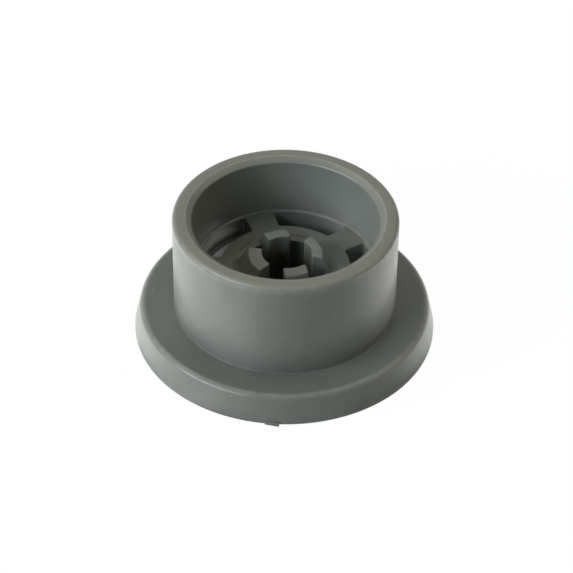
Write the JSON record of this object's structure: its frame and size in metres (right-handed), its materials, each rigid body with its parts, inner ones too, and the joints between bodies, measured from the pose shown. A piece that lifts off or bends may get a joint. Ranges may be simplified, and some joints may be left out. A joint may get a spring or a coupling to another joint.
{
  "type": "dishwasher rack wheel stud",
  "caption": "Flanged cup-shaped wheel stud for a dishwasher rack, with a spoked hub and a split spring collar for the rack's pin.",
  "frame": {"origin": "centre of the flange's underside, on the surface that the stud stands on", "axes": "+Z along the stud's axis, out of the open mouth of the cup; +Y along the first spoke"},
  "size_m": [0.038, 0.038, 0.0174],
  "materials": {
    "grey_plastic": "satin, as moulded"
  },
  "bodies": {
    "root": {"wheel_stud": "grey_plastic"}
  },
  "joints": []
}
